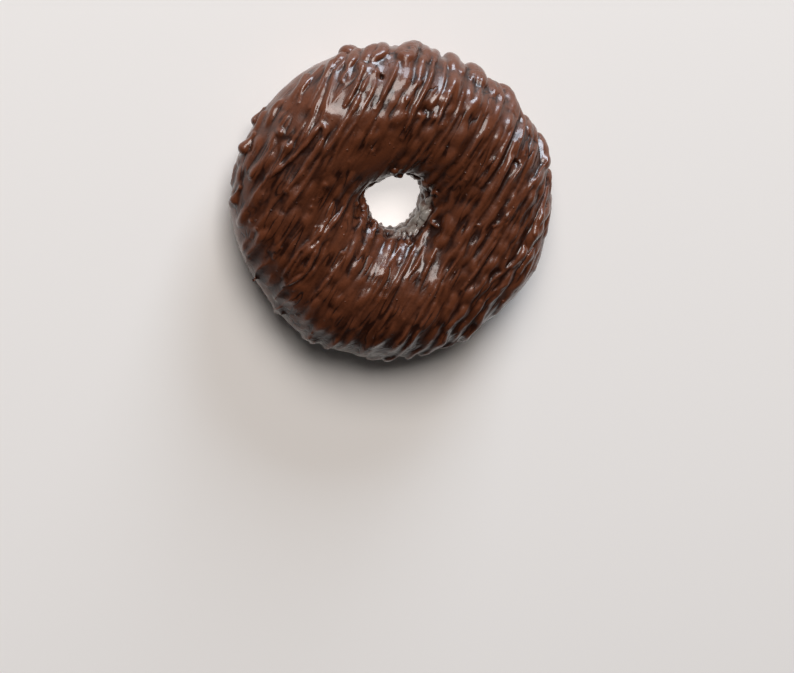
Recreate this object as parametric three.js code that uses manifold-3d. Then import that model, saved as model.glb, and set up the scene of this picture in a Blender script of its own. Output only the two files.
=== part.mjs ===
// A ring doughnut dipped all over in dark chocolate, with a thick chocolate drizzle run back and
// forth across its face. It lies on its back, face up.
//
// Millimetres, +Z up. The origin is on the surface the doughnut lies on, under the middle of its
// outline. +Y points to the edge of the face that is uppermost when the doughnut stands on its rim.
import * as THREE from "three";
import { mergeVertices } from "three/addons/utils/BufferGeometryUtils.js";
import Module from "manifold-3d";

const { clamp, degToRad, lerp, smoothstep } = THREE.MathUtils;

// ---- Driving sizes of the ring -------------------------------------------------------------
const OUTER_DIAMETER = 90; // over the glaze, without the drizzle
const HOLE_DIAMETER = 18; // at its narrowest
const THICKNESS = 28; // of the ring before its back settled flat
const SETTLED = 0.9; // how much of that thickness the flat back takes away
const PLUMPNESS = 2.15; // of the section: 2 is an ellipse, and more is fuller at the shoulders
const SHOULDER = 0.9; // share of the half width where the face turns down into a side

const RING_RADIUS = (OUTER_DIAMETER + HOLE_DIAMETER) / 4;
const HALF_WIDTH = (OUTER_DIAMETER - HOLE_DIAMETER) / 4;
const HALF_THICKNESS = THICKNESS / 2;
const MID_HEIGHT = HALF_THICKNESS - SETTLED;
const SHOULDER_RADIUS = RING_RADIUS + SHOULDER * HALF_WIDTH;

// Hand-made unevenness, as waves round the ring: how many, their height, and where a crest lies.
const OUT_OF_ROUND = [[2, 0.45, 2.9], [3, 0.3, 0.6], [5, 0.18, 4.0]];
const OFF_WIDTH = [[1, 1, 3.8], [3, 0.3, 1.9], [4, 0.25, 0.3]];
const OFF_THICKNESS = [[1, 0.35, 1.2], [2, 0.3, 5.0], [5, 0.15, 2.2]];

// ---- Driving sizes of the drizzle ----------------------------------------------------------
// The drizzle is a coat of strands side by side, all much the same way. A pair [least, most] is
// the range of a random draw for each strand.
const STRANDS = 23;
const STRAND_SPACING = 3.75;
const STRAND_ANGLE = degToRad(59); // from +X
const ZIGZAG = degToRad(0.9); // every second strand leans the other way
const STRAY_ANGLE = [degToRad(-0.7), degToRad(0.7)];
const STRAY_PLACE = [-0.7, 0.7];
const WAVER = 0.4; // sideways, along a strand
const WAVER_LENGTH = [26, 44];
const CLOSEST = 2.2; // that two strands lie, side by side
const CREST = [0.9, 1.6]; // above the bare glaze
const SUNK = 0.6; // share of its crest that a strand keeps along the top of the ring
const TROUGH = 0.25; // height of the coat between two strands
const HANG_NEAR = [-4.0, 1.0]; // how far past the shoulder a strand starts, at the lower left,
const HANG_FAR = [3.5, 8.5]; // ends, at the upper right,
const HANG_IN_HOLE = [2.0, 5.0]; // and runs down into the hole
const OVERRUN_SHARE = 0.2; // of the strands, how many hang at the lower left as well
const OVERRUN = 5.5; // by so much more
const SWELL = [0.1, 0.55]; // how much thicker a strand's last SWELL_LENGTH is
const SWELL_LENGTH = 4;
const END_ROUND = 1.6; // length of a strand's round end
const NOTCH = 2; // how much sooner the trough between two strands ends

// ---- Facets, and what lies hidden in the ring ----------------------------------------------
const RING_STEPS = 78;
const SECTION_STEPS = 24;
const LINES_PER_STRAND = 4;
const LAST_ROW = 36; // of the rows of corners across the lines, from 0
const END_ROWS = [-1.3, 0.1, 0.7, 2]; // how far inside the end of a line the first few lie
const MIDDLE_ROWS = 0.62; // spacing of the rows by the hole, as a share of the mean
const DIVE = 1; // how deep the edge of the coat goes under the glaze
const UNDERSIDE = 3; // how deep the underside of the coat lies
const HOLE_LIMIT = 8.5; // how far past the shoulder of the hole the coat follows its wall
const PLUG = { radius: 12, low: 4.5, high: 12.6 }; // what is cut out of the coat in the hole

const CHOCOLATE = new THREE.MeshStandardMaterial({ color: 0x4b2a1d, roughness: 0.32, metalness: 0 });

// A short repeatable run of random numbers, the same in any language.
let dice = 20;
function roll([least, most]) {
  dice = (dice * 1664525 + 1013904223) % 4294967296;
  return least + ((most - least) * dice) / 4294967296;
}

// ---- The ring's surface --------------------------------------------------------------------
const waves = (terms, angle) =>
  terms.reduce((sum, [count, height, crest]) => sum + height * Math.cos(count * (angle - crest)), 0);
const ringRadius = (angle) => RING_RADIUS + waves(OUT_OF_ROUND, angle);
const halfWidth = (angle) => HALF_WIDTH + waves(OFF_WIDTH, angle);
const halfThickness = (angle) => HALF_THICKNESS + waves(OFF_THICKNESS, angle);
const signedPower = (value, power) => Math.sign(value) * Math.abs(value) ** power;

// A point `proud` of the bare glaze: `angle` goes round the hole, and `tilt` round the section, from
// 0 at the outer rim through a quarter turn on the face to a half turn in the hole.
function onGlaze(angle, tilt, proud = 0) {
  const across = signedPower(Math.cos(tilt), 2 / PLUMPNESS);
  const up = signedPower(Math.sin(tilt), 2 / PLUMPNESS);
  const width = halfWidth(angle);
  const thickness = halfThickness(angle);
  const leanAcross = signedPower(across, PLUMPNESS - 1) / width;
  const leanUp = signedPower(up, PLUMPNESS - 1) / thickness;
  const lean = Math.hypot(leanAcross, leanUp);
  const reach = ringRadius(angle) + width * across + (proud * leanAcross) / lean;
  const height = MID_HEIGHT + thickness * up + (proud * leanUp) / lean;
  return new THREE.Vector3(reach * Math.cos(angle), reach * Math.sin(angle), height);
}

// Where chocolate poured at (x, y) comes to lie: on the face, or as far down a side as (x, y) is
// past the shoulder. `past` is that length, and negative past the shoulder of the hole. `edge` is
// 0 along the top of the ring and 1 at its sides.
function pour(x, y) {
  const angle = Math.atan2(y, x);
  const across = (Math.hypot(x, y) - ringRadius(angle)) / halfWidth(angle);
  const held = clamp(across, -SHOULDER, SHOULDER);
  const past = (across - held) * halfWidth(angle);
  const tilt = Math.acos(signedPower(held, PLUMPNESS / 2)) - past / HALF_THICKNESS;
  return { angle, tilt, past, edge: Math.min(Math.abs(across), 1) };
}

// ---- Solids --------------------------------------------------------------------------------
const wasm = await Module();
wasm.setup();

function toSolid(geometry) {
  geometry.deleteAttribute("normal");
  geometry.deleteAttribute("uv");
  const merged = mergeVertices(geometry, 1e-4);
  const vertProperties = merged.attributes.position.array;
  const triVerts = new Uint32Array(merged.index.array);
  return new wasm.Manifold(new wasm.Mesh({ numProp: 3, vertProperties, triVerts }));
}

function toGeometry(solid) {
  const { vertProperties, triVerts, numProp } = solid.getMesh();
  const geometry = new THREE.BufferGeometry();
  geometry.setAttribute("position", new THREE.BufferAttribute(vertProperties, numProp));
  geometry.setIndex(new THREE.BufferAttribute(triVerts, 1));
  geometry.computeVertexNormals();
  return geometry;
}

// The geometry with every corner moved to where `place` says.
function reshape(geometry, place) {
  const corners = geometry.attributes.position;
  const corner = new THREE.Vector3();
  for (let i = 0; i < corners.count; i++) {
    const { x, y, z } = place(corner.fromBufferAttribute(corners, i));
    corners.setXYZ(i, x, y, z);
  }
  return geometry;
}

// The glazed ring: a torus with its section redrawn, and a flat place underneath.
function makeRing() {
  const torus = new THREE.TorusGeometry(2, 1, SECTION_STEPS, RING_STEPS);
  return reshape(torus, (corner) => {
    const angle = Math.atan2(corner.y, corner.x);
    const tilt = Math.atan2(corner.z, Math.hypot(corner.x, corner.y) - 2);
    const place = onGlaze(angle, tilt);
    place.z = Math.max(place.z, 0);
    return place;
  });
}

// ---- Drizzle -------------------------------------------------------------------------------
const strands = Array.from({ length: STRANDS }, (_, index) => {
  const offset = (index - (STRANDS - 1) / 2) * STRAND_SPACING + roll(STRAY_PLACE);
  const lean = Math.tan((index % 2 ? ZIGZAG : -ZIGZAG) + roll(STRAY_ANGLE));
  const waverLength = roll(WAVER_LENGTH);
  const waverStart = roll([0, 2 * Math.PI]);
  const overrun = roll([0, 1]) < OVERRUN_SHARE ? OVERRUN : 0;
  const endAt = (hang) => Math.sqrt((SHOULDER_RADIUS + hang) ** 2 - offset ** 2);
  return {
    across: (along) =>
      offset + along * lean + WAVER * Math.sin((2 * Math.PI * along) / waverLength + waverStart),
    near: -endAt(roll(HANG_NEAR) + overrun),
    far: endAt(roll(HANG_FAR)),
    inHole: roll(HANG_IN_HOLE),
    crest: roll(CREST),
    swellNear: roll(SWELL),
    swellFar: roll(SWELL),
  };
});

// How far across the face each strand lies, `along` it from the middle.
function strandsAcross(along) {
  const places = strands.map((strand) => strand.across(along));
  for (let i = 1; i < places.length; i++) {
    const push = Math.max(0, CLOSEST - (places[i] - places[i - 1])) / 2;
    places[i - 1] -= push;
    places[i] += push;
  }
  return places;
}

// The coat's corners lie on lines that run with the strands: line 3 is the crest of strand 3, and
// line 3.5 the trough between it and the next.
function readLine(line) {
  const own = clamp(Math.round(line), 0, STRANDS - 1);
  const next = clamp(own + Math.sign(line - own), 0, STRANDS - 1);
  const off = 2 * Math.abs(line - own); // 0 on the crest, and 1 in the trough
  const drop = 1 - Math.sqrt(1 - off ** 2); // the same, along a round arch
  const [strand, other] = [strands[own], strands[next]];
  return {
    ...strand,
    near: lerp(strand.near, Math.max(strand.near, other.near) + NOTCH, drop),
    far: lerp(strand.far, Math.min(strand.far, other.far) - NOTCH, drop),
    inHole: lerp(strand.inHole, Math.min(strand.inHole, other.inHole) - NOTCH / 2, drop),
    across: (places) => lerp(places[own], (places[own] + places[next]) / 2, off),
    drop,
    beside: next === own ? Math.sign(line - own) * off : 0, // outside the first or last strand
  };
}

// How far along its line a row's corner is: the rows are close together at both ends, and by the hole.
function rowAlong(row, near, far) {
  const left = LAST_ROW - row;
  if (row < END_ROWS.length) return near + END_ROWS[row];
  if (left < END_ROWS.length) return far - END_ROWS[left];
  const share = Math.abs(row - LAST_ROW / 2) / (LAST_ROW / 2 - END_ROWS.length + 1);
  const eased = share * lerp(MIDDLE_ROWS, 1, share ** 2);
  return eased * (row < left ? near + END_ROWS.at(-1) : far - END_ROWS.at(-1));
}

// A corner of the coat, on its top or on its underside.
function coatCorner(line, row, isTop) {
  const { crest, near, far, inHole, swellNear, swellFar, across, drop, beside } = readLine(line);
  const along = rowAlong(row, near, far);
  const side = across(strandsAcross(along)) + (beside * STRAND_SPACING) / 2;
  const x = along * Math.cos(STRAND_ANGLE) + side * Math.sin(STRAND_ANGLE);
  const y = along * Math.sin(STRAND_ANGLE) - side * Math.cos(STRAND_ANGLE);
  const { angle, tilt, past, edge } = pour(x, y);

  // Its height: an arch over each strand, which is lower along the top of the ring and swells
  // before it rounds off at an end.
  const fromEnd = Math.min(along - near, far - along);
  const inside = Math.min(fromEnd, past + inHole);
  const swell = (along < 0 ? swellNear : swellFar) * Math.sin(Math.PI * clamp(fromEnd / SWELL_LENGTH, 0, 1));
  const top = crest * lerp(SUNK, 1, smoothstep(edge, 0.2, 0.9)) * (1 + swell);
  const rounded = Math.sqrt(1 - (1 - clamp(inside / END_ROUND, 0, 1)) ** 2);
  const isOff = inside < 0 || Math.abs(beside) === 1;
  const height = isOff ? -DIVE * clamp(Math.abs(beside) - inside, 0, 1) : lerp(top, TROUGH, drop) * rounded;
  const deeper = clamp(-past - inHole - DIVE, 0, 2);
  const proud = (isTop ? height : -UNDERSIDE) - deeper;
  if (past > -HOLE_LIMIT) return onGlaze(angle, tilt, proud);

  // In the hole the coat leaves the wall and closes over, as a level sheet.
  const limit = ringRadius(angle) - SHOULDER * halfWidth(angle) - HOLE_LIMIT;
  const wall = pour(limit * Math.cos(angle), limit * Math.sin(angle));
  const share = Math.hypot(x, y) / limit;
  return onGlaze(angle, wall.tilt, proud).multiply(new THREE.Vector3(share, share, 1));
}

// The coat of drizzle: a slab in squares, laid over the ring.
function makeCoat() {
  const slab = new THREE.BoxGeometry(1, 1, 1, STRANDS * LINES_PER_STRAND, LAST_ROW, 1);
  return reshape(slab, ({ x, y, z }) => {
    const place = coatCorner((x + 0.5) * STRANDS - 0.5, Math.round((y + 0.5) * LAST_ROW), z > 0);
    if (z < 0) place.z -= 1;
    return place;
  });
}

// What the coat's level sheet in the hole is cut away with.
function makePlug() {
  const { radius, low, high } = PLUG;
  const plug = new THREE.CylinderGeometry(radius, radius, high - low, 48);
  return plug.rotateX(Math.PI / 2).translate(0, 0, (low + high) / 2);
}

const coat = toSolid(makeCoat()).subtract(toSolid(makePlug()));
const geometry = toGeometry(toSolid(makeRing()).add(coat));
geometry.computeBoundingBox();
const middle = geometry.boundingBox.getCenter(new THREE.Vector3());
geometry.translate(-middle.x, -middle.y, 0);

const doughnut = new THREE.Mesh(geometry, CHOCOLATE);
doughnut.name = "doughnut";

const part = new THREE.Group();
part.add(doughnut);

export default part;
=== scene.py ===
# %% [markdown]
# # A ring doughnut in dark chocolate
#
# This lesson dresses a plain solid doughnut for its picture. The real one is a baked ring that was
# dipped in dark chocolate, and more of the same chocolate was then run back and forth across its
# face from a piping bag, while the dip was still warm. So the drizzle has half melted into the
# glaze: along the top of the ring it is a set of low soft ridges, and at the rim it hangs over in
# round, heavy ends.
#
# The file goes the same way as the baker: first the glazed ring, then the drizzle, and then the thin
# threads and drops that fell from the bag at the end. The camera and the chocolate come before them,
# because a strand ends where the outline is seen, and all drizzle gets its material as it is laid.

# %% Load the plain solid
import math

import bpy
import numpy as np
from mathutils import Matrix, Vector, noise


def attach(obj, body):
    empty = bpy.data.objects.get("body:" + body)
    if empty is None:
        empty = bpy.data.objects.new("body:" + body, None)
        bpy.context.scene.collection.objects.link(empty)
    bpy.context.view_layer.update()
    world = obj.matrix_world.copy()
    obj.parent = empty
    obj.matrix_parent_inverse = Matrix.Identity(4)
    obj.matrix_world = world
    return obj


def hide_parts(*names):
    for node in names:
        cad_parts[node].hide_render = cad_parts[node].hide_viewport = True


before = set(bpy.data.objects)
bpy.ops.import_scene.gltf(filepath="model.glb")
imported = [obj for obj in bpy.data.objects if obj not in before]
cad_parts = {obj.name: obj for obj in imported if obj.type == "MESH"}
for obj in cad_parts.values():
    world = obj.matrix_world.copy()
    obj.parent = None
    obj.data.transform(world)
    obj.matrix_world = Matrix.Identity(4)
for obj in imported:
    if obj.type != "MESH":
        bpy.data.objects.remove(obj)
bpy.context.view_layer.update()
MM = 0.001


# %% [markdown]
# ## The camera
#
# The doughnut was photographed standing on its rim, a little from above and from one side. Here it
# lies on its back, so the same view is from above: the camera stands over the face, and leans off
# the upright by the same two angles. A constraint can aim a camera, but always puts its target in
# the middle of the picture. Here the camera is turned by a quaternion that is worked out from where
# in the picture the doughnut should be, so the lens needs no shift. The distance and the lens are
# long, as for a picture of food: the near and the far rim keep the same size.

# %% Camera
PICTURE = (794, 673)
MIDDLE_IN_PICTURE = (391, 201)  # where the middle of the ring is, in pixels from the top left
PIXEL = 0.284 * MM  # at the doughnut
CAMERA_DISTANCE = 0.75
LEAN_LEFT, LEAN_UP = math.radians(12), math.radians(15)
RIM_HEIGHT = 13.1 * MM

data = bpy.data.cameras.new("camera")
camera = bpy.data.objects.new("camera", data)
bpy.context.scene.collection.objects.link(camera)
bpy.context.scene.camera = camera
data.lens = data.sensor_width * CAMERA_DISTANCE / (PICTURE[0] * PIXEL)
data.clip_start, data.clip_end = 0.05, 10

back = Vector((-math.tan(LEAN_LEFT), math.tan(LEAN_UP), 1)).normalized()
camera.location = Vector((0, 0, RIM_HEIGHT)) + back * CAMERA_DISTANCE
right_of_middle = (MIDDLE_IN_PICTURE[0] - PICTURE[0] / 2) * PIXEL
above_middle = (PICTURE[1] / 2 - MIDDLE_IN_PICTURE[1]) * PIXEL
straight = Vector((0, 0, -1))
aside = straight.rotation_difference(Vector((right_of_middle, above_middle, -CAMERA_DISTANCE)))
right = Vector((0, 1, 0)).cross(back).normalized()
upright = Matrix((right, back.cross(right), back)).transposed().to_quaternion()
camera.rotation_mode = "QUATERNION"
camera.rotation_quaternion = upright @ aside.inverted()
print(f"lens {data.lens:.1f} mm")

# %% [markdown]
# ## Expressions that build nodes
#
# Both materials and Geometry Nodes are trees of nodes, and a long chain of Math nodes is hard to read
# as code. So a small class wraps a node's output, and Python's own signs add the Math nodes:
# `1 - mask * 0.3` becomes two. Every other node comes from one function, which takes the node's type,
# its settings, and what goes into its sockets.

# %% Wires and nodes
class Wire:
    """One output of a node. An expression on it adds Math nodes to its tree."""

    def __init__(self, socket):
        self.socket = socket

    def maths(self, operation, *values):
        return add(self.socket.id_data, "ShaderNodeMath", {"operation": operation}, values)

    def __add__(self, other):
        return self.maths("ADD", self, other)

    def __sub__(self, other):
        return self.maths("SUBTRACT", self, other)

    def __rsub__(self, other):
        return self.maths("SUBTRACT", other, self)

    def __mul__(self, other):
        return self.maths("MULTIPLY", self, other)

    def __truediv__(self, other):
        return self.maths("DIVIDE", self, other)

    def __pow__(self, other):
        return self.maths("POWER", self, other)

    __radd__, __rmul__ = __add__, __mul__

    def least(self, other):
        return self.maths("MINIMUM", self, other)

    def clamped(self):
        """At least 0 and at most 1."""
        return self.maths("MAXIMUM", self, 0).least(1)

    def unsigned(self):
        return self.maths("ABSOLUTE", self)


def add(tree, kind, settings=None, inputs=(), output=0):
    """A new node of that kind. `inputs` is a list, or a dict by socket name or number."""
    node = tree.nodes.new(kind)
    for name, value in (settings or {}).items():
        setattr(node, name, value)
    for name, value in (inputs.items() if isinstance(inputs, dict) else enumerate(inputs)):
        wires = value if isinstance(value, list) else [value]
        for wire in wires:
            if isinstance(wire, Wire):
                tree.links.new(wire.socket, node.inputs[name])
            else:
                node.inputs[name].default_value = wire
    return Wire(node.outputs[output]) if node.outputs else node


def mix_colours(tree, share, first, second):
    """The second colour where the share is 1, and the first where it is 0."""
    # The node has an A and a B for each kind of value. Numbers 6 and 7, and output 2, are the colours'.
    inputs = {"Factor": share, 6: first, 7: second}
    return add(tree, "ShaderNodeMix", {"data_type": "RGBA"}, inputs, output=2)


def make_material(name, make_shader):
    material = bpy.data.materials.new(name)
    material.use_nodes = True
    tree = material.node_tree
    tree.nodes.clear()
    add(tree, "ShaderNodeOutputMaterial", {}, {"Surface": make_shader(tree)})
    print(name, "has", len(tree.nodes), "nodes")
    return material


# %% [markdown]
# ## The chocolate
#
# Dark chocolate with milk in it is a warm brown, nearly black where little light gets to it. It is
# glossy, but not like glass: the fat in it leaves a fine uneven skin, so a reflection has a bright
# middle and a soft edge. One Principled shader does both, with a rough base and a smoother coat.
#
# Every pattern is noise on the piece's own coordinates, which needs no picture and looks the same from
# all sides. Round clouds mottle the brown. Noise that is stretched along the drizzle gives streaks, and
# where stretched noise crosses its middle value it leaves a thin line: those are the grooves between
# threads too fine to model, pressed in by the bump and painted darker as shade. Most cells of a Voronoi
# pattern hold a small burst bubble.
#
# Three values come from the mesh, because only the shape knows them. `relief` is how far a place stands
# out: crests are a lighter brown and the bottoms of grooves darker, partly because a thin crest lets
# more light through, and partly as painted shade in the grooves. `pale` is where the wall of the hole
# gets a painted grey reflection. `thick` is painted shade: it darkens the lower rim.

# %% Chocolate
STRAND_ANGLE = math.radians(59)  # the way that the drizzle runs, from +X
DEEP_BROWN = (0.017, 0.0038, 0.0013, 1)
CREST_BROWN = (0.103, 0.0292, 0.0114, 1)
# A painted grey reflection for the wall of the hole.
PAINTED_WALL_REFLECTION = (0.26, 0.235, 0.21, 1)
STREAK_STRETCH = 9  # how many times as long as wide a streak is
# How light the brown is, from the deep one at 0 to the crest's at 1, and what changes that.
EVEN_TONE = 0.74
# RELIEF_TONE lightens crests and darkens grooves: partly thin chocolate letting light through, partly
# painted shade in the grooves.
RELIEF_TONE, MOTTLE_TONE, STREAK_TONE, SPECK_TONE = 0.85, 0.7, 0.7, 0.35
RIM_SHADE_TONE, LINE_SHADE_TONE = 0.6, 0.9  # these two are painted shade: on the lower rim, and in the fine grooves
BUBBLE_SPACING, BUBBLE_RADIUS = 2.9, 0.13  # in mm, and as a share of that
NO_BUBBLE = 0.36  # a cell with a smaller random number has none
BUBBLE_HEIGHT, LINE_DEPTH = 5.5, 2
SKIN_STRENGTH, SKIN_DEPTH = 0.45, 0.14 * MM


def chocolate_shader(tree):
    place = add(tree, "ShaderNodeTexCoord", output="Object")
    # In its texture mode this node turns first and then divides, so the stretch follows the drizzle.
    turn = {"Vector": place, "Rotation": (0, 0, STRAND_ANGLE), "Scale": (STREAK_STRETCH, 1, 1)}
    run = add(tree, "ShaderNodeMapping", {"vector_type": "TEXTURE"}, turn)

    def clouds(size, detail, where=place):
        """Noise whose lumps are about `size` millimetres across. Its middle value is 0.5."""
        inputs = {"Vector": where, "Scale": 1 / (size * MM), "Detail": detail}
        return add(tree, "ShaderNodeTexNoise", {}, inputs)

    def from_mesh(name):
        return add(tree, "ShaderNodeAttribute", {"attribute_name": name}, output="Fac")

    relief, pale, thick = from_mesh("relief"), from_mesh("pale"), from_mesh("thick")
    mottle, dull = clouds(size=14, detail=2), clouds(size=9, detail=2)
    specks, streaks = clouds(size=0.9, detail=2), clouds(size=1.1, detail=2, where=run)
    # A line is a fine groove: the bump presses it in, and its darker colour is painted shade.
    line = (1 - (clouds(size=2.4, detail=1, where=run) - 0.5).unsigned() * 13).clamped()
    line = line * (clouds(size=7, detail=1) * 5 - 2.1).clamped()  # only in some patches
    cell = add(tree, "ShaderNodeTexVoronoi", {}, {"Vector": place, "Scale": 1 / (BUBBLE_SPACING * MM)})
    number = Wire(cell.socket.node.outputs["Color"])  # each cell has a random one
    bubble = ((BUBBLE_RADIUS - cell) / BUBBLE_RADIUS).clamped() ** 0.5
    bubble = bubble * number.maths("GREATER_THAN", number, NO_BUBBLE)

    # Crests lighter than grooves: partly thin chocolate letting light through, partly painted shade.
    light = relief * RELIEF_TONE + EVEN_TONE + (mottle - 0.5) * MOTTLE_TONE
    light = light + (streaks - 0.5) * STREAK_TONE + (specks - 0.5) * SPECK_TONE
    # Painted shade: the `thick` attribute darkens the lower rim, and the lines darken the fine grooves.
    light = (light - thick * RIM_SHADE_TONE - line * LINE_SHADE_TONE).clamped()
    brown = mix_colours(tree, light, DEEP_BROWN, CREST_BROWN)
    # Painted reflection: grey on the wall of the hole, lighter on its crests.
    wall_crust = (pale * (relief * 0.8 + 0.55 + (specks - 0.5) * 1.2)).clamped()
    skin = clouds(size=3.2, detail=3) * 0.5 + streaks * 0.6 + specks * 0.8
    skin = skin + clouds(size=0.45, detail=1) * 0.3 + bubble * BUBBLE_HEIGHT - line * LINE_DEPTH
    bump = {"Strength": SKIN_STRENGTH, "Distance": SKIN_DEPTH, "Height": skin}
    return add(tree, "ShaderNodeBsdfPrincipled", {}, {
        "Base Color": mix_colours(tree, wall_crust, brown, PAINTED_WALL_REFLECTION),
        "Roughness": 0.36 + (dull - 0.5) * 0.4 + (specks - 0.5) * 0.15,
        "IOR": 1.45,
        "Specular IOR Level": 0.35,
        "Coat Weight": (1.05 - dull * 1.1 + (specks - 0.5) * 0.5).clamped(),
        "Coat Roughness": 0.1,
        "Normal": add(tree, "ShaderNodeBump", {}, bump),
    })


chocolate = make_material("dark_chocolate", chocolate_shader)

# %% [markdown]
# ## The glazed ring
#
# A dipped doughnut is a torus that hands have shaped: its section is fuller than an ellipse, and its
# width, thickness and radius all wander by a fraction of a millimetre. Each is a base value plus a
# few waves round the ring, and the section is a superellipse. These are the numbers of the plain
# solid, so the dressed doughnut lies exactly where the solid does.

# %% The ring's numbers, in millimetres
RING_RADIUS = 27.0
HALF_WIDTH = 18.0
HALF_THICKNESS = 14.0
MID_HEIGHT = 13.1
PLUMPNESS = 2.15
SHOULDER = 0.9  # share of the half width where the face turns down into a side
OUT_OF_ROUND = [(2, 0.45, 2.9), (3, 0.3, 0.6), (5, 0.18, 4.0)]  # how many waves, height, crest
OFF_WIDTH = [(1, 1, 3.8), (3, 0.3, 1.9), (4, 0.25, 0.3)]
OFF_THICKNESS = [(1, 0.35, 1.2), (2, 0.3, 5.0), (5, 0.15, 2.2)]
RING_CENTRE = np.array([0.091, -0.478, 0])  # off the middle of the outline, which is at the origin


def waves(terms, angle):
    return sum(height * np.cos(count * (angle - crest)) for count, height, crest in terms)


def signed_power(value, power):
    return np.sign(value) * np.abs(value) ** power


def on_glaze(angle, tilt, proud=0.0):
    """Points that stand `proud` of the bare glaze, and which way is out there. `angle` goes round the
    hole, and `tilt` round the section: 0 at the rim, a quarter turn on the face, half in the hole."""
    radius = RING_RADIUS + waves(OUT_OF_ROUND, angle)
    width = HALF_WIDTH + waves(OFF_WIDTH, angle)
    thickness = HALF_THICKNESS + waves(OFF_THICKNESS, angle)
    across = signed_power(np.cos(tilt), 2 / PLUMPNESS)
    up = signed_power(np.sin(tilt), 2 / PLUMPNESS)
    lean_across = signed_power(across, PLUMPNESS - 1) / width
    lean_up = signed_power(up, PLUMPNESS - 1) / thickness
    lean = np.hypot(lean_across, lean_up)
    out_across, out_up = lean_across / lean, lean_up / lean
    reach = radius + width * across + proud * out_across
    height = MID_HEIGHT + thickness * up + proud * out_up
    places = np.stack([reach * np.cos(angle), reach * np.sin(angle), height], -1) + RING_CENTRE
    outward = np.stack([out_across * np.cos(angle), out_across * np.sin(angle), out_up], -1)
    return places, outward


# %% The ring's mesh
RING_STEPS, SECTION_STEPS = 360, 128


def make_ring():
    turns = np.arange(RING_STEPS) * 2 * math.pi / RING_STEPS
    tilts = np.arange(SECTION_STEPS) * 2 * math.pi / SECTION_STEPS
    angle, tilt = np.meshgrid(turns, tilts, indexing="ij")
    places, _ = on_glaze(angle, tilt)
    places[..., 2] = np.maximum(places[..., 2], 0)  # the flat place that it lies on
    number = np.arange(RING_STEPS * SECTION_STEPS).reshape(RING_STEPS, SECTION_STEPS)
    after, above = np.roll(number, -1, 0), np.roll(number, -1, 1)
    faces = np.stack([number, after, np.roll(after, -1, 1), above], -1).reshape(-1, 4)
    mesh = bpy.data.meshes.new("ring")
    mesh.from_pydata((places.reshape(-1, 3) * MM).tolist(), [], faces.tolist())
    return mesh


def put(name, mesh):
    """Puts a mesh in the scene as an object of that name, at the origin."""
    thing = bpy.data.objects.new(name, mesh)
    bpy.context.scene.collection.objects.link(thing)
    return thing


ring = put("bare_ring", make_ring())
print("ring:", len(ring.data.polygons), "faces")

# %% [markdown]
# ## Where poured chocolate goes
#
# Seen from above, a strand of drizzle is a nearly straight line. Chocolate that is poured on the face
# stays there. Past the shoulder it runs down the side, by as much as the line goes on past the
# shoulder. `pour` bends a flat drawing over the ring in that way, so all drizzle can be drawn flat.

# %% From a flat drawing to the ring
def pour(x, y):
    """The angle and tilt where chocolate poured at (x, y) lies, how far that is past the shoulder
    (negative in the hole), and how near the side: 0 along the top of the ring, 1 at its sides."""
    angle = np.arctan2(y, x)
    width = HALF_WIDTH + waves(OFF_WIDTH, angle)
    across = (np.hypot(x, y) - RING_RADIUS - waves(OUT_OF_ROUND, angle)) / width
    held = np.clip(across, -SHOULDER, SHOULDER)
    past = (across - held) * width
    tilt = np.arccos(signed_power(held, PLUMPNESS / 2)) - past / HALF_THICKNESS
    return angle, tilt, past, np.minimum(np.abs(across), 1)


def smoothstep(value, low, high):
    share = np.clip((value - low) / (high - low), 0, 1)
    return share * share * (3 - 2 * share)


def lerp(a, b, share):
    return a + (b - a) * share


# %% [markdown]
# ## The strands of drizzle
#
# Every strand has its own place, lean, waver, ends and height. They are drawn from the same run of
# random numbers as the plain solid's, in the same order, so they are the same 23 strands. A second
# run adds what the solid leaves out, such as a strand that gets thicker and thinner along its way.

# %% Draws for each strand
class Dice:
    """A short repeatable run of random numbers: each is worked out from the one before."""

    FACTOR, STEP_ON, TURNOVER = 1664525, 1013904223, 2 ** 32

    def __init__(self, seed):
        self.state = seed

    def roll(self, least, most):
        self.state = (self.state * self.FACTOR + self.STEP_ON) % self.TURNOVER
        return least + (most - least) * self.state / self.TURNOVER


STRANDS = 23
STRAND_SPACING = 3.75
ZIGZAG = math.radians(0.9)
STRAY_ANGLE = math.radians(0.7)
STRAY_PLACE = 0.7
WAVER, WAVER_LENGTHS = 0.4, (26, 44)
CLOSEST = 2.2
SHOULDER_RADIUS = RING_RADIUS + SHOULDER * HALF_WIDTH
NEAR_HANG, FAR_HANG, HOLE_HANG = (-4.0, 1.0), (3.5, 8.5), (2.0, 5.0)  # how far past the shoulder
OVERRUN_SHARE, OVERRUN = 0.2, 5.5  # some strands hang further
CRESTS, SWELLS = (0.9, 1.6), (0.1, 0.55)


def draw_strand(index, dice):
    offset = (index - (STRANDS - 1) / 2) * STRAND_SPACING + dice.roll(-STRAY_PLACE, STRAY_PLACE)
    lean = (ZIGZAG if index % 2 else -ZIGZAG) + dice.roll(-STRAY_ANGLE, STRAY_ANGLE)
    strand = {"offset": offset, "lean": math.tan(lean), "waver_length": dice.roll(*WAVER_LENGTHS),
              "waver_start": dice.roll(0, 2 * math.pi)}
    overrun = OVERRUN if dice.roll(0, 1) < OVERRUN_SHARE else 0

    def end_at(hang):
        return math.sqrt((SHOULDER_RADIUS + hang) ** 2 - offset ** 2)

    strand["near"] = -end_at(dice.roll(*NEAR_HANG) + overrun)
    strand["far"] = end_at(dice.roll(*FAR_HANG))
    strand["in_hole"] = dice.roll(*HOLE_HANG)
    strand["crest"] = dice.roll(*CRESTS)
    for _ in range(2):
        dice.roll(*SWELLS)  # the solid's strands swell at both ends, and these get heads instead
    return strand


solid_dice = Dice(20)
strands = [draw_strand(index, solid_dice) for index in range(STRANDS)]


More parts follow.
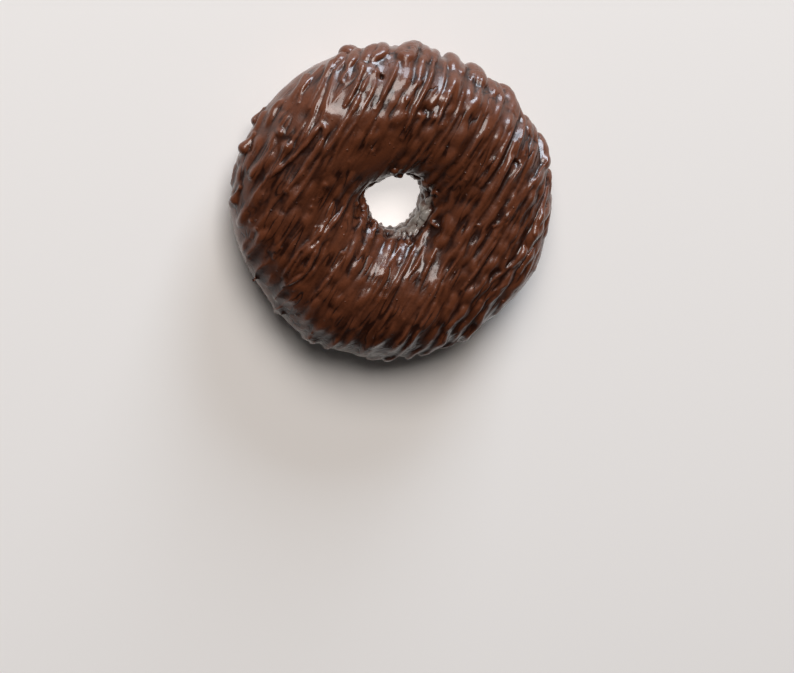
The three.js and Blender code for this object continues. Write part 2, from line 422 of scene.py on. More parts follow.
def strands_across(along):
    """How far across the face each strand lies, at each place `along` it. A row for each."""
    rows = np.array([
        s["offset"] + along * s["lean"]
        + WAVER * np.sin(2 * math.pi * along / s["waver_length"] + s["waver_start"])
        for s in strands
    ])
    for i in range(1, STRANDS):
        push = np.maximum(0, CLOSEST - (rows[i] - rows[i - 1])) / 2
        rows[i - 1] -= push
        rows[i] += push
    return rows


def turned(along, side):
    """(x, y) of a place `along` the strands and `side` across them."""
    x = along * math.cos(STRAND_ANGLE) + side * math.sin(STRAND_ANGLE)
    return x, along * math.sin(STRAND_ANGLE) - side * math.cos(STRAND_ANGLE)


print("strands:", STRANDS)

# %% [markdown]
# ## From strands to ropes
#
# A strand that has half melted in is the top of a round rope that is sunk in the glaze. If it stands
# `h` high and is `2a` wide where it meets the glaze, its rope's radius is (a^2 + h^2) / 2h. So each
# strand becomes a path with a radius at every point, a little under the surface.
#
# The drizzle isn't the same all round. On the right the strands stand out crisply and end in heavy
# round heads, large and small in turn, which hang over the rim just where the outline is seen. So a
# rope is followed down the side up to the outline that the camera sees, and its head is put there.
# In the upper left the drizzle has run together into one smooth pool. Slow random waves let every
# rope get thicker and thinner along its way.

# %% Waves, and the parts of a path
STEP = 0.5  # mm from one point of a path to the next
FEWEST = 4  # points in a path
extra_dice = Dice(7)


def wobble(dice, longest=22, shortest=5):
    """A slow random wave of height about 1, as a function of the place along a strand."""
    parts = [(dice.roll(shortest, longest), dice.roll(0, 2 * math.pi)) for _ in range(3)]

    def wave(along):
        return sum(np.sin(2 * math.pi * along / length + start) for length, start in parts) / 2

    return wave


def cut(rope, keep):
    """The pieces of a rope where `keep` holds, without the shortest."""
    edges = np.flatnonzero(np.diff(np.concatenate([[0], keep.astype(int), [0]])))
    parts = [slice(a, b) for a, b in zip(edges[::2], edges[1::2]) if b - a >= FEWEST]
    return [{key: values[part] for key, values in rope.items()} for part in parts]


# %% Crisp, pooled, and out of sight
CRISP_SIDE = math.radians(-8)  # the side where the strands stand out most
BULGE = (2, -18, 8)  # x, y and size of the bulge below the hole, in mm
# How far past the shoulder the camera sees the outline: the mean, the swing, and the widest side.
OUTLINE_PAST, OUTLINE_SWING, OUTLINE_SIDE = 6.1, 3.9, math.radians(118)


def crispness(angle):
    """1 on the side where the strands stand out most, and 0 on the other."""
    return (1 + np.cos(angle - CRISP_SIDE)) / 2


def near(angle, middle, reach):
    """1 at the angle `middle`, and less and less from there. `middle` and `reach` are in degrees."""
    apart = np.degrees(np.angle(np.exp(1j * (angle - math.radians(middle)))))
    return np.exp(-(apart / reach) ** 2)


def hill(x, y, middle_x, middle_y, size):
    """1 at that middle, and less and less from there."""
    return np.exp(-((x - middle_x) ** 2 + (y - middle_y) ** 2) / size ** 2)


def pooled(x, y, angle, edge):
    """How far the drizzle has run together: most in the upper left, and on the bulge below the hole."""
    upper_left = near(angle, middle=114, reach=34) * smoothstep(edge, 0.05, 0.3)
    return np.maximum(upper_left, hill(x, y, *BULGE))


def outline_past(angle):
    return OUTLINE_PAST + OUTLINE_SWING * np.cos(angle - OUTLINE_SIDE)


# %% One rope
# Of a pair, the first is for the calm side of the ring and the second for the crisp one.
PROUD = (0.72, 1.08)  # share of its drawn height that a strand stands out
PROUD_ON_TOP = (0.5, 0.66)  # share of that which is left on the top of the ring
LOST_IN_POOL, LEFT_IN_HOLE = 0.7, 0.3
# Of a pair, the first is for a strand with a small head and the second for one with a large head.
HEAD_SIZES, HEAD_HEIGHTS, HEAD_WIDTHS = (1.1, 2.1), (0.62, 1.28), (0.55, 1.42)
HEAD_UP = 1.15  # how high a head is, in its radii
HEAD_STRETCH = (1.0, 9.0)  # the way before its end in which a strand swells to its head
LEAST_WIDTH, MOST_WIDTH, END_WIDTH = 1.1, 2.5, 1.35  # half of it, where the strand meets the glaze
END_STRETCH = (1, 12)
UNEVEN_HEIGHT, UNEVEN_WIDTH, UNEVEN_END = 0.4, 0.26, 0.18
STRAY, STRAY_PACE = 0.5, 1.3


def rope_height(strand, crisp, grown, edge, in_hole, pool, wave):
    height = strand["crest"] * lerp(lerp(*PROUD_ON_TOP, crisp), 1, smoothstep(edge, 0.3, 0.95))
    height = height * lerp(*PROUD, crisp)
    height = height * (1 + UNEVEN_HEIGHT * wave) * lerp(LEFT_IN_HOLE, 1, smoothstep(in_hole, 0, 5))
    return height * lerp(1, lerp(*HEAD_HEIGHTS, grown), crisp) * (1 - LOST_IN_POOL * pool)


def rope_half_width(gap, crisp, grown, from_end, in_hole, wave):
    half = np.clip(gap / 2 + 0.05, LEAST_WIDTH, MOST_WIDTH) * (1 + UNEVEN_WIDTH * wave)
    half = half * lerp(1, lerp(*HEAD_WIDTHS, grown), crisp)
    half = lerp(END_WIDTH * (1 + UNEVEN_END * wave), half, smoothstep(from_end, *END_STRETCH))
    return lerp(LEAST_WIDTH, half, smoothstep(in_hole, 0, 6))


def rope_of(strand, along, across, gap, head, reach=0, short=0):
    """The rope of one strand, in the pieces that the hole leaves of it. `gap` is the room that its
    neighbours leave it. It goes on for `reach` at its near end, and ends `short` of the outline."""
    thick, high, aside = (wobble(extra_dice) for _ in range(3))
    x, y = turned(along, across + STRAY * aside(along * STRAY_PACE))
    angle, tilt, past, edge = pour(x, y)
    # A large head is put a little further down, so that no more of it shows.
    over = (along > 3) & (past > outline_past(angle) + 1.3 * (head - 1.5) - short)
    far = along[over.argmax()] if over.any() else min(strand["far"], along[-1])
    from_end = np.minimum(along - strand["near"] + reach, far - along)
    in_hole = past + strand["in_hole"]
    crisp, grown = crispness(angle), smoothstep(head, *HEAD_SIZES)
    height = rope_height(strand, crisp, grown, edge, in_hole, pooled(x, y, angle, edge), high(along))
    half = rope_half_width(gap, crisp, grown, from_end, in_hole, thick(along))
    body = smoothstep(far - along, *HEAD_STRETCH)
    half, height = lerp(head, half, body), lerp(HEAD_UP * head, height, body)
    radius = (half ** 2 + height ** 2) / (2 * height)
    places, outward = on_glaze(angle, tilt, height - radius)
    rope = {"places": places, "outward": outward, "radius": radius}
    return cut(rope, (from_end >= 0) & (in_hole >= 0))


# %% The main ropes
# The radius of each strand's head, in mm.
HEADS = [1.2, 1.3, 1.1, 1.3, 1.2, 1.5, 2.3, 1.6, 1.4, 2.1, 1.0, 2.0, 2.0, 1.1, 1.4, 2.8, 1.2, 1.3,
         1.5, 2.4, 1.1, 1.5, 1.1]
LEFT_REACH, BOTTOM_REACH = 4.5, 3.5  # how much further the strands there run down the side
LEFT_UNTIL, BOTTOM_FROM = (5, 9), (6, 11)  # in numbers of the strands
EARLY_ENDS = [(3.5, 3, 6), (2, 0, 2)]  # how much short, and the strands over which that fades out
# More strands at the upper left: how many, their ends, how much each is shorter, and their heads.
SIDE_STRANDS, SIDE_NEAR, SIDE_FAR, SIDE_SHORTER, SIDE_HEAD = 2, -24, 11, 5, 1.0


def main_ropes():
    ropes = []
    for index, strand in enumerate(strands):
        reach = LEFT_REACH * (1 - smoothstep(index, *LEFT_UNTIL))
        reach = reach + BOTTOM_REACH * smoothstep(index, *BOTTOM_FROM)
        along = np.arange(strand["near"] - reach, strand["far"] + 6, STEP)
        rows = strands_across(along)
        gaps = np.diff(rows, axis=0)
        gap = (gaps[max(index - 1, 0)] + gaps[min(index, STRANDS - 2)]) / 2
        short = sum(early * (1 - smoothstep(index, *fade)) for early, *fade in EARLY_ENDS)
        ropes += rope_of(strand, along, rows[index], gap, HEADS[index], reach, short)
    for number in range(SIDE_STRANDS):
        ends = {"near": SIDE_NEAR + SIDE_SHORTER * number, "far": SIDE_FAR - SIDE_SHORTER * number}
        strand = dict(draw_strand(SIDE_STRANDS, extra_dice), **ends)
        along = np.arange(strand["near"], strand["far"], STEP)
        across = strands_across(along)[0] - STRAND_SPACING * (number + 0.9)
        ropes += rope_of(strand, along, across, STRAND_SPACING, SIDE_HEAD)
    return ropes


ropes = main_ropes()
print("main ropes:", len(ropes))

# %% [markdown]
# ## A tree that lays chocolate along paths
#
# One Geometry Nodes tree turns all the paths into chocolate. It makes each a curve and sweeps a circle
# along it, scaled by the path's own radius, with a ball at both ends. A path that is marked `drape`
# is first dropped on the piece below: a ray from each point finds the surface, and blurring the rays'
# lengths lets the strand bridge a groove as a real one does. Modelling each strand by hand would give
# one doughnut, and this gives any.
#
# A voxel remesh then makes one watertight skin of what overlaps, as the warm chocolate did. Booleans
# would keep every crease, and are slower.

# %% The laying tree
TREE_INPUTS = [("Geometry", "Geometry"), ("Body", "Object"), ("Sides", "Int"), ("End Ball", "Float"),
               ("Blur", "Int"), ("Material", "Material")]
RAY_LENGTH = 20 * MM


def make_laying_tree():
    tree = bpy.data.node_groups.new("lay chocolate", "GeometryNodeTree")
    for name, kind in TREE_INPUTS:
        tree.interface.new_socket(name, in_out="INPUT", socket_type="NodeSocket" + kind)
    tree.interface.new_socket("Geometry", in_out="OUTPUT", socket_type="NodeSocketGeometry")
    given = tree.nodes.new("NodeGroupInput")

    def take(name):
        return Wire(given.outputs[name])

    def named(name, kind):
        return add(tree, "GeometryNodeInputNamedAttribute", {"data_type": kind}, {"Name": name})

    def scaled(vector, scale):
        return add(tree, "ShaderNodeVectorMath", {"operation": "SCALE"}, {0: vector, "Scale": scale})

    body = add(tree, "GeometryNodeObjectInfo", {}, {"Object": take("Body")}, "Geometry")
    outward, radius = named("outward", "FLOAT_VECTOR"), named("radius", "FLOAT")
    curve = add(tree, "GeometryNodeMeshToCurve", {}, {"Mesh": take("Geometry")})
    start = add(tree, "GeometryNodeInputPosition")
    ray = add(tree, "GeometryNodeRaycast", {}, {
        "Target Geometry": body, "Source Position": start,
        "Ray Direction": scaled(outward, -1), "Ray Length": RAY_LENGTH,
    }, "Hit Distance")
    blurred = add(tree, "GeometryNodeBlurAttribute", {}, {"Value": ray, "Iterations": take("Blur")})
    rise = named("lift", "FLOAT") - ray.least(blurred)
    offset = scaled(outward, rise * named("drape", "FLOAT"))
    curve = add(tree, "GeometryNodeSetPosition", {}, {"Geometry": curve, "Offset": offset})
    circle = add(tree, "GeometryNodeCurvePrimitiveCircle", {}, {"Resolution": take("Sides")})
    swept = add(tree, "GeometryNodeCurveToMesh", {}, {
        "Curve": curve, "Profile Curve": circle, "Scale": radius, "Fill Caps": True,
    })
    ball = add(tree, "GeometryNodeMeshIcoSphere", {}, {"Subdivisions": 3})
    balls = add(tree, "GeometryNodeInstanceOnPoints", {}, {
        "Points": curve, "Selection": add(tree, "GeometryNodeCurveEndpointSelection"),
        "Instance": ball, "Scale": radius * take("End Ball"),
    })
    joined = add(tree, "GeometryNodeJoinGeometry", {}, {"Geometry": [body, swept, balls]})
    real = add(tree, "GeometryNodeRealizeInstances", {}, {"Geometry": joined})
    done = add(tree, "GeometryNodeSetMaterial", {}, {"Geometry": real, "Material": take("Material")})
    tree.links.new(done.socket, tree.nodes.new("NodeGroupOutput").inputs["Geometry"])
    return tree


laying_tree = make_laying_tree()
print("laying tree:", len(laying_tree.nodes), "nodes")

# %% Laying
ROPE_SIDES = 16
# What a path's points carry: the name, its two types in Blender, and the unit.
PATH_VALUES = [("radius", "FLOAT", "value", MM), ("lift", "FLOAT", "value", MM),
               ("drape", "FLOAT", "value", 1), ("outward", "FLOAT_VECTOR", "vector", 1)]


def make_paths(name, ropes):
    """A mesh of loose edges, a run for each rope, with what the laying tree reads there."""
    counts = [len(rope["places"]) for rope in ropes]
    starts = np.cumsum([0] + counts[:-1])
    edges = [(s + i, s + i + 1) for s, n in zip(starts, counts) for i in range(n - 1)]
    mesh = bpy.data.meshes.new(name)
    mesh.from_pydata((np.concatenate([r["places"] for r in ropes]) * MM).tolist(), edges, [])
    for key, kind, field, unit in PATH_VALUES:
        parts = [np.asarray(rope.get(key, 0)) for rope in ropes]
        parts = [np.broadcast_to(part, (n,) + part.shape[1:]) for part, n in zip(parts, counts)]
        values = np.concatenate(parts).astype(np.float32) * unit
        mesh.attributes.new(key, kind, "POINT").data.foreach_set(field, values.ravel())
    return mesh


def settled(thing):
    """The object's mesh with all its modifiers carried out."""
    bpy.context.view_layer.update()
    return bpy.data.meshes.new_from_object(thing.evaluated_get(bpy.context.evaluated_depsgraph_get()))


def lay(name, ropes, body, voxel, end_ball=1.0, blur=0):
    """Lays the ropes on the body, and melts both into one skin. The voxel size is in mm."""
    thing = put(name, make_paths(name, ropes))
    modifier = thing.modifiers.new("laying", "NODES")
    modifier.node_group = laying_tree
    settings = {"Body": body, "Sides": ROPE_SIDES, "End Ball": end_ball, "Blur": blur,
                "Material": chocolate}
    for item in laying_tree.interface.items_tree:
        if item.in_out == "INPUT" and item.name in settings:
            modifier[item.identifier] = settings[item.name]
    melt = thing.modifiers.new("melting", "REMESH")
    melt.mode, melt.voxel_size, melt.use_smooth_shade = "VOXEL", voxel * MM, True
    mesh = settled(thing)
    bpy.data.objects.remove(thing)
    return put(name, mesh)


# %% The first coat
COARSE_VOXEL, FINE_VOXEL = 0.42, 0.32

coat = lay("first_coat", ropes, ring, voxel=COARSE_VOXEL)
print("first coat:", len(coat.data.polygons), "faces")

# %% [markdown]
# ## Melting
#
# Warm chocolate fills the crease where two strands meet. Moving every corner of the mesh a little
# towards the middle of its neighbours, a few times over, does the same. A Smooth modifier could do
# it with a vertex group, but as arrays it is as quick, and a formula says where it melts more.

# %% Soften a mesh
def rows_of(items, field, width, kind):
    """That field of every item, as an array with a row for each."""
    values = np.empty(len(items) * width, kind)
    items.foreach_get(field, values)
    return values.reshape(-1, width)


def read(mesh):
    return rows_of(mesh.vertices, "co", 3, np.float32).astype(float)


def read_edges(mesh):
    return rows_of(mesh.edges, "vertices", 2, np.int32)


def read_normals(mesh):
    return rows_of(mesh.vertex_normals, "vector", 3, np.float32).astype(float)


def soften(places, edges, rounds, share):
    """Each corner moves by `share` of the way to the middle of its neighbours, `rounds` times."""
    count = len(places)
    neighbours = np.bincount(edges.ravel(), minlength=count)[:, None]
    share = np.broadcast_to(share, (count,))[:, None]
    for _ in range(rounds):
        total = np.stack([
            np.bincount(edges[:, 0], places[edges[:, 1], axis], count)
            + np.bincount(edges[:, 1], places[edges[:, 0], axis], count)
            for axis in range(3)
        ], -1)
        places = places + share * (total / neighbours - places)
    return places


def write(mesh, places):
    places[:, 2] = np.maximum(places[:, 2], 0)
    mesh.vertices.foreach_set("co", places.astype(np.float32).ravel())
    mesh.update()


def on_ring(places):
    """Where corners in metres are on the ring: flat x and y in mm, the angle round the hole, how far
    past the shoulder, and how near the side."""
    x, y, _ = (places / MM - RING_CENTRE).T
    angle, _, past, edge = pour(x, y)
    return x, y, angle, past, edge


# %% Melt the first coat
MELT_ON_TOP, MELT_CALM_SIDE, MELT_CRISP_SIDE = 0.5, 0.42, 0.2

places = read(coat.data)
_, _, angle, _, edge = on_ring(places)
melt_side = lerp(MELT_CALM_SIDE, MELT_CRISP_SIDE, crispness(angle))
melt_share = lerp(MELT_ON_TOP, melt_side, smoothstep(edge, 0.3, 0.95))
melted = soften(places, read_edges(coat.data), rounds=4, share=melt_share)
print("melting moves a corner by up to", round(np.abs(melted - places).max() / MM, 2), "mm")
write(coat.data, melted)

# %% [markdown]
# ## The second pass
#
# Over the first strands lie thinner ones, at slightly other angles, which are crisper because they
# fell last. They are draped on the first coat, and all is melted into one skin with a smaller voxel.

# %% Thin strands
LIE = 6.0  # how far out of the glaze a draped path starts
RIM_LIMIT, HOLE_LIMIT = 7.0, 3.0  # how far past the shoulder a thin strand goes
THIN_FROM, THIN_TO, THIN_PAST = -41, 42, 5  # across the face, and past the shoulder
THIN_SHORTEST, THIN_FEWEST = 14, 12  # mm, and points


def draped(angle, tilt, radius, lift=0):
    """A rope that the laying tree drops on what is below it."""
    places, outward = on_glaze(angle, tilt, LIE)
    drape = np.ones(len(places))
    return {"places": places, "outward": outward, "radius": radius, "lift": lift, "drape": drape}


def thin_ropes(dice, count, radii, lifts, longest, stray):
    found = []
    for _ in range(count):
        offset = dice.roll(THIN_FROM, THIN_TO)
        reach = math.sqrt(max((SHOULDER_RADIUS + THIN_PAST) ** 2 - offset ** 2, 0))
        start = dice.roll(-reach, reach * 0.5)
        along = np.arange(start, min(start + dice.roll(THIN_SHORTEST, longest), reach), STEP)
        aside, thick = wobble(dice, 30, 12), wobble(dice)
        lean = math.tan(math.radians(dice.roll(-stray, stray)))
        size, lift = dice.roll(*radii), dice.roll(*lifts)
        if len(along) < THIN_FEWEST:
            continue
        from_end = np.minimum(along - along[0], along[-1] - along)
        radius = size * (1 + 0.2 * thick(along)) * lerp(0.6, 1, smoothstep(from_end, 0, 6))
        angle, tilt, past, _ = pour(*turned(along, offset + along * lean + 0.4 * aside(along)))
        rope = draped(angle, tilt, radius, radius * lift)
        found += cut(rope, (past < RIM_LIMIT) & (past > -HOLE_LIMIT))
    return found


second = thin_ropes(extra_dice, 34, radii=(0.3, 0.75), lifts=(-0.55, 0.15), longest=60, stray=4.0)
print("thin strands:", len(second))

# %% [markdown]
# ## Threads, drops, beads and bubbles
#
# What the eye remembers is the accidents: a loop where the bag turned round, two threads that cross,
# a bead that hangs from the rim. Noise makes none of those, so they are placed one by one, where the
# real one has them. A thread is a radius and the flat points that it goes through. Only the small
# bubbles under the glaze are scattered at random.

# %% How to draw a thread, a drop and a bead
def thread(radius, *corners):
    """A thin draped strand through flat points in mm. It narrows towards both ends."""
    corners = np.array(corners)
    walked = np.concatenate([[0], np.cumsum(np.hypot(*np.diff(corners, axis=0).T))])
    at = np.arange(0, walked[-1], STEP)
    flat = np.array([np.interp(at, walked, corners[:, axis]) for axis in range(2)])
    for _ in range(6):
        flat[:, 1:-1] = (flat[:, :-2] + 2 * flat[:, 1:-1] + flat[:, 2:]) / 4
    angle, tilt, _, _ = pour(*flat)
    from_end = np.minimum(at, at[-1] - at)
    size = radius * lerp(0.55, 1, smoothstep(from_end, 0, 5))
    size = size * (1 + 0.12 * np.sin(at * 1.3 + 40 * radius))  # thicker and thinner along its way
    return draped(angle, tilt, size, size * 0.1)


def drop(angle_deg, tilt_deg, radius, tail=4.0, lift=0.05):
    """A drop of chocolate at that place, with a short tail `tail` degrees of tilt long."""
    tilt = np.radians(np.linspace(tilt_deg, tilt_deg + tail, 5))
    size = radius * np.linspace(1, 0.85, 5)
    return draped(np.full(5, math.radians(angle_deg)), tilt, size, size * lift)


NECK_LENGTH, NECK = 3.4, 0.45  # of a bead, in radii


def bead(x, y, radius):
    """A round bead on the side of the ring, with a neck that runs up the way of the drizzle."""
    along = np.arange(0, NECK_LENGTH * radius, STEP)
    angle, tilt, _, _ = pour(x + along * math.cos(STRAND_ANGLE), y + along * math.sin(STRAND_ANGLE))
    return draped(angle, tilt, radius * lerp(1, NECK, smoothstep(along / radius, 0.2, 2.6)))


# %% Threads, drops, beads and bubbles
THREADS = [
    (0.5, (-9.9, 41.1), (-12, 36.9), (-14.3, 33.6), (-16.1, 31.3)),
    (0.45, (-12.5, 42.9), (-14.1, 39.9), (-16.4, 37.8), (-15.2, 37.1), (-13.6, 38)),
    (0.55, (35.8, 4.1), (31.8, 0.1), (28.8, -3.7), (26.2, -4.9)),
    (0.5, (40.2, -11), (37.6, -14), (34.5, -18.3), (33.2, -22)),
    (0.55, (35.5, -9.7), (35.7, -12.3), (32.3, -16.3), (26.3, -20.6), (22.1, -25.4), (21, -28.4)),
    (0.5, (29.6, -22.1), (24.6, -26.1), (21.7, -29.6)),
    (0.65, (-15.5, 2.9), (-21.7, -3.8), (-24.6, -9.3), (-27.4, -15.4), (-34, -20)),
    (0.6, (12.8, 44.6), (8.7, 37.8), (3.6, 30.3), (0, 22)),
    (0.5, (37.6, 24.4), (33.5, 17.2), (32.6, 12.4)),
    (0.5, (38.5, 8.7), (33.6, 2.9), (31, -2)),
    (0.6, (42.4, 11.2), (37.4, 6.1), (34.9, 2.7), (29.8, -4.6)),
    (0.7, (-37.1, 12.2), (-31.8, 16.5), (-27, 21.3), (-23.7, 25.8), (-22.2, 27), (-21, 25.8),
     (-22, 23), (-24.5, 19.3), (-29.4, 12.3), (-34.1, 7.4)),
    (0.6, (-33.6, -16.6), (-29.4, -9.1), (-24.5, -5.3), (-20.2, 0.5)),
    (0.65, (12.9, 32.4), (10.7, 28.9), (8.4, 22.6)),
    (0.55, (0.4, 42), (-1.5, 39.3), (-4.2, 35.4), (-7.6, 30.3)),
    (0.55, (-28.8, -12.1), (-25.5, -7.8), (-20.3, -4.9)),
    (0.6, (-25.9, -23.6), (-22.7, -19.7), (-17.4, -12.8)),
    (0.6, (5.1, -10.7), (2.4, -14.6), (-1.2, -19.6), (-4.7, -24.4)),
    (0.5, (7.5, -11), (5.3, -14.7), (1.2, -19.2)),
    (0.6, (10.5, -11.5), (8.6, -14.7), (5.5, -19.4)),
    (0.55, (28.3, -7.6), (25.5, -11.6), (22, -16.6), (17.4, -22.9)),
]
# Drops: angle and tilt in degrees, radius. Beads: flat x and y, radius.
RIM_DROPS = [(205, 20, 1.0), (222, 22, 0.8)]
HOLE_DROPS = [(95, 143, 1.0), (20, 150, 0.8), (-25, 146, 0.9), (-70, 152, 0.8), (170, 150, 0.7)]
BUBBLES = 60
BEADS = [(-43.3, 28.6, 1.45), (-43.6, 19.2, 1.6), (-47.0, 4.4, 1.45), (-13.6, 48.6, 2.1)]


second += [thread(*drawn) for drawn in THREADS]
second += [drop(*place) for place in RIM_DROPS + HOLE_DROPS]
second += [bead(*place) for place in BEADS]
for _ in range(BUBBLES):
    angle_deg, tilt_deg = extra_dice.roll(0, 360), extra_dice.roll(15, 150)
    radius, lift = extra_dice.roll(0.3, 0.5), extra_dice.roll(-0.6, 0.0)
    second.append(drop(angle_deg, tilt_deg, radius, tail=1.0, lift=lift))
print("with the threads and round ones:", len(second))

# %% The second pass
full = lay("doughnut_glaze", second, coat, voxel=FINE_VOXEL, end_ball=1.1, blur=8)
print("second pass:", len(full.data.polygons), "faces")

# %% [markdown]
# ## The fine unevenness
#
# A skin that was only swept and melted looks like plastic. Real glaze has broad swells from the dough
# below, dimples where it ran together, and sharp little creases the way that the drizzle was drawn.
# All are heights along the normal, added up before the mesh is moved once. The absolute value of smooth
# noise has a crease wherever the noise crosses zero, and stretching it along the drizzle draws the
# creases out into grooves. The side is fuller than the solid's at the lower right and less full at the
# lower left, the hole's wall has a rough crust, and a few dents are listed one by one.

# %% Lumps and creases
def lumps(places, size, seed):
    """Smooth random height between about -1 and 1 at each corner, with lumps `size` mm across."""
    shift = Vector((seed, seed * 1.7, seed * 0.3))
    scale = 1 / (size * MM)
    return np.array([noise.noise(Vector(p) * scale + shift) for p in places])


def creases(places, length, width, seed):
    """Round ridges with sharp creases between, `length` mm long the way that the drizzle runs."""
    cos, sin = math.cos(STRAND_ANGLE), math.sin(STRAND_ANGLE)
    x, y, z = (places / MM).T
    run, side = (x * cos + y * sin) / length, (x * sin - y * cos) / width
    stretched = np.stack([run, side, z / length + seed], -1)
    return np.array([abs(noise.noise(p)) for p in stretched]) * 2.5 - 0.6


# %% Melt the second pass
mesh = full.data
write(mesh, soften(read(mesh), read_edges(mesh), rounds=3, share=0.4))
places, normals = read(mesh), read_normals(mesh)
x, y, angle, past, edge = on_ring(places)
crisp, pool = crispness(angle), pooled(x, y, angle, edge)
print("corners:", len(places))


# %% How high the glaze stands out, in millimetres
def tell(what, values):
    print(what, "from", round(values.min(), 2), "to", round(values.max(), 2))


patches = smoothstep(lumps(places, size=13, seed=21), -0.1, 0.35)
calm_top = 1 - 0.6 * (1 - crisp) * (1 - smoothstep(edge, 0.35, 0.8))  # less uneven near the hole
fine = (0.015 + 0.035 * patches) * calm_top
high = 0.28 * lumps(places, size=8, seed=3) + fine * lumps(places, size=2.6, seed=9)
ridges = lerp(0.15, 0.23, crisp) * creases(places, length=30, width=3.6, seed=2)
ridges = ridges + lerp(0.08, 0.12, crisp) * creases(places, length=22, width=1.7, seed=7)
high = high + ridges * (1 - 0.6 * pool) + 0.25 * pool * lumps(places, size=4.5, seed=13)
tell("glaze", high)

# %% Swollen and fuller places
swollen = 1.3 * near(angle, middle=100, reach=34) + 1.3 * near(angle, middle=-22, reach=16)
swollen = swollen + 0.8 * near(angle, middle=48, reach=12)
high = high + 0.5 * swollen * smoothstep(past, 0, 1.5)
fuller = 2.0 * near(angle, middle=-27, reach=20) - 1.6 * near(angle, middle=210, reach=20)
high = high + fuller * smoothstep(np.hypot(x, y), 34, 44)
tell("with the fuller places", high)

# %% Crust and dents
# Single lumps and pits on the face: x, y, how wide, and how high. A pit is less than nothing high.
DENTS = [
    (-9.9, 41.1, 1.3, 0.8), (-6.5, 39.8, 1, 0.6), (-4.9, 38.9, 0.5, -1.3), (-11.5, 35, 1.6, -0.5),
    (-33.3, 24.4, 0.9, 0.8), (-31.8, 20.7, 1.2, 0.8), (-32.2, 8.5, 0.8, 0.6), (-21.4, 9.7, 0.8, 0.5),
    (7, 29.6, 1.4, -0.9), (8.6, 27.6, 0.8, 0.5), (5.2, 28.4, 0.8, 0.4), (33, 13, 0.8, -1),
    (-2.5, 44, 1.4, 0.7), (2, 43, 1.2, 0.6), (-26, 29, 2.4, -0.5), (-20, 30, 1.8, 0.4),
]

wall_crust = 0.4 + 1.8 * near(angle, middle=-30, reach=50) + 0.9 * near(angle, middle=170, reach=40)
wall_crust = wall_crust * smoothstep(-past, 0.9, 1.7)
crust = 0.55 * lumps(places, size=1.9, seed=5)
crust = crust + 0.5 * creases(places, length=3.5, width=1.7, seed=11) + wall_crust
high = lerp(high, crust, smoothstep(-past, 0.2, 1.3))
for dent_x, dent_y, size, rise in DENTS:
    high = high + rise * hill(x, y, dent_x, dent_y, size)
tell("with the crust and dents", high)

# %% Move the corners, and thin out
MOST_TRIANGLES = 192000  # how many triangles the skin keeps at most; a piece may have 200,000


def thin_out(thing, most):
    """Collapses the flattest triangles until at most that many are left."""
    triangles = 2 * len(thing.data.polygons)
    collapse = thing.modifiers.new("thinning", "DECIMATE")
    collapse.ratio = min(1, most / triangles)
    mesh = settled(thing)
    thing.modifiers.remove(collapse)
    thing.data = mesh
    return mesh


off_the_floor = smoothstep(places[:, 2] / MM, 0.3, 2.0)
write(mesh, places + normals * (high * MM * off_the_floor)[:, None])
mesh = thin_out(full, MOST_TRIANGLES)
print("skin:", len(mesh.polygons), "faces")

# %% [markdown]
# ## What the material reads from the mesh
#
# Relief is how far each corner stands out of a copy of the mesh that was softened thirty times. That
# costs a second, and follows every rope and groove.

# %% Relief, painted reflection on the hole's wall, and painted shade on the lower rim
FULL_RELIEF = 0.3  # mm that a place stands out where its relief is 1


def store(mesh, name, values):
    mesh.attributes.new(name, "FLOAT", "POINT").data.foreach_set("value", values.astype(np.float32))
    tell(name, values)


places = read(mesh)
calm = soften(places, read_edges(mesh), rounds=30, share=0.5)
store(mesh, "relief", ((places - calm) * read_normals(mesh)).sum(1) / (FULL_RELIEF * MM))
x, y, angle, past, _ = on_ring(places)
# `pale` is where the wall of the hole gets a painted grey reflection.
store(mesh, "pale", smoothstep(-past, 0.7, 1.5) * near(angle, middle=-35, reach=55))
# `thick` is painted shade, darker towards the lower rim.
store(mesh, "thick", smoothstep(np.hypot(x, y), 26, 42) * near(angle, middle=-96, reach=48))
mesh.materials.clear()
mesh.materials.append(chocolate)
mesh.shade_smooth()

# %% Clear away what was only a step
for step in (ring, coat):
    bpy.data.objects.remove(step)

# %% [markdown]
# ## The floor
#
# The doughnut lies on a plain pale floor, the colour of a light stone. The camera sees a bit of it
# through the hole, where hardly any light gets in. Behind the real one's hole there was bright space,
# so the floor glows a little there. The glow is a disc that ends under the ring, out of sight.

# %% Floor
FLOOR_COLOUR, GLOW_COLOUR, DARK = (0.85, 0.82, 0.795, 1), (1.0, 0.96, 0.93, 1), (0, 0, 0, 1)
GLOW_END, GLOW_FADE = 20, 4  # mm
FLOOR_RADIUS, FLOOR_SIDES = 4.5, 48  # m
UNDER = -0.05  # mm: the doughnut's flat underside shouldn't lie in the very same plane


def floor_shader(tree):
    place = add(tree, "ShaderNodeTexCoord", output="Object")
    distance = add(tree, "ShaderNodeVectorMath", {"operation": "LENGTH"}, [place], "Value")
    lit = ((GLOW_END * MM - distance) / (GLOW_FADE * MM)).clamped()
    return add(tree, "ShaderNodeBsdfPrincipled", {}, {
        "Base Color": FLOOR_COLOUR,
        "Roughness": 0.7,
        "Specular IOR Level": 0.2,
        "Emission Color": mix_colours(tree, lit, DARK, GLOW_COLOUR),
        "Emission Strength": 0.65,
    })


def make_floor():
    mesh = bpy.data.meshes.new("floor")
    turns = np.arange(FLOOR_SIDES) * 2 * math.pi / FLOOR_SIDES
    corners = [(FLOOR_RADIUS * math.cos(a), FLOOR_RADIUS * math.sin(a), UNDER * MM) for a in turns]
    mesh.from_pydata(corners, [], [range(FLOOR_SIDES)])
    mesh.materials.append(make_material("pale_floor", floor_shader))
    return put("floor", mesh)


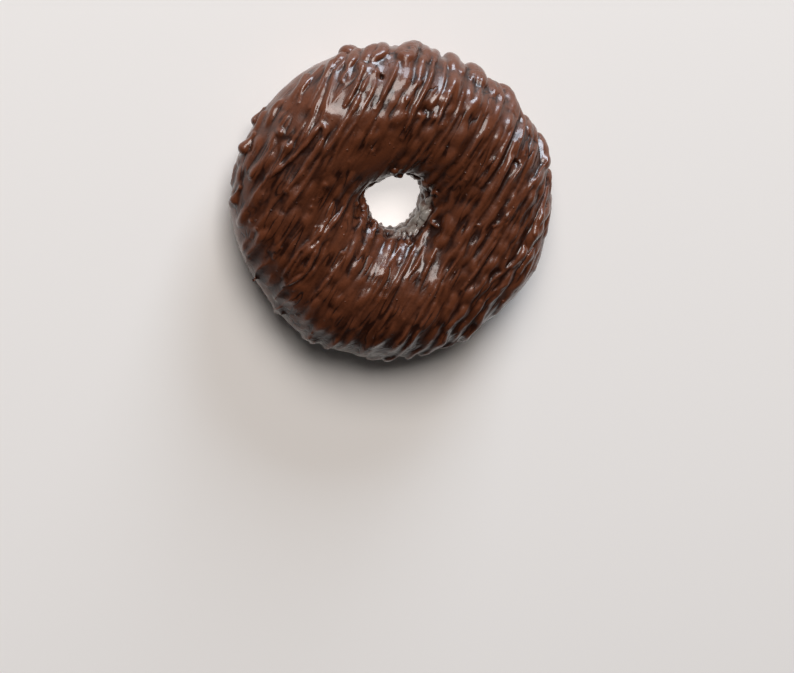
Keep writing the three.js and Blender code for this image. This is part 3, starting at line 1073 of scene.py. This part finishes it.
floor = make_floor()
print("floor:", 2 * FLOOR_RADIUS, "m across")

# %% [markdown]
# ## Lights and room
#
# The light comes through windows behind the upper rim of the picture's doughnut, which is from +Y
# here. A high soft box makes the warm white patches on the upper half, and casts the shadow. A lower,
# bluer one lies so flat that only the strands' shoulders send it to the camera, as thin blue rims.
#
# All other light is the room's. A lying doughnut sees the dark ceiling with its face and the pale
# walls with its sides, so the world is bright near the horizon and nearly black above: the face
# keeps deep browns, and the sides get a soft grey sheen. An even dome would put a grey haze on all.
# The Standard view keeps the colours as they were set.

# %% Lights
WARM, BLUISH = (1.0, 0.95, 0.91), (0.76, 0.87, 1.0)


def soft_light(name, azimuth, elevation, distance, size, power, colour):
    """A square soft box aimed at the doughnut. Its angles are in degrees, from +X and the floor."""
    light = bpy.data.lights.new(name, "AREA")
    light.shape, light.size, light.energy, light.color = "SQUARE", size, power, colour
    thing = bpy.data.objects.new(name, light)
    bpy.context.scene.collection.objects.link(thing)
    a, e = math.radians(azimuth), math.radians(elevation)
    way = Vector((math.cos(a) * math.cos(e), math.sin(a) * math.cos(e), math.sin(e)))
    thing.location = way * distance
    thing.rotation_mode = "QUATERNION"
    thing.rotation_quaternion = way.to_track_quat("Z", "Y")
    print(name, power, "W from", azimuth, "and", elevation, "degrees")


soft_light("window", azimuth=96, elevation=52, distance=2.5, size=1.3, power=58, colour=WARM)
soft_light("low_window", azimuth=72, elevation=17, distance=2.4, size=1.0, power=55, colour=BLUISH)

# %% Room
ROOM_COLOUR = (1.0, 0.98, 0.96, 1)
WALLS, MORE_AT_WINDOW, CEILING = 0.36, 0.3, 0.02
FALL = 1.5  # how fast the walls get darker from the horizon up


def make_room():
    world = bpy.data.worlds.new("room")
    world.use_nodes = True
    tree = world.node_tree
    direction = add(tree, "ShaderNodeTexCoord", output="Generated")
    up = add(tree, "ShaderNodeSeparateXYZ", {}, [direction], "Z")
    towards_window = Wire(up.socket.node.outputs["Y"])
    glow = (1 - up * FALL).clamped() ** 2 * (towards_window * MORE_AT_WINDOW + WALLS) + CEILING
    tree.links.new(glow.socket, tree.nodes["Background"].inputs["Strength"])
    tree.nodes["Background"].inputs["Color"].default_value = ROOM_COLOUR
    print("room:", len(tree.nodes), "nodes")
    return world


bpy.context.scene.world = make_room()
bpy.context.scene.view_settings.view_transform = "Standard"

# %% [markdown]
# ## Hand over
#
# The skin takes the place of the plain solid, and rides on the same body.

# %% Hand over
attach(full, "root")
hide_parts("doughnut")
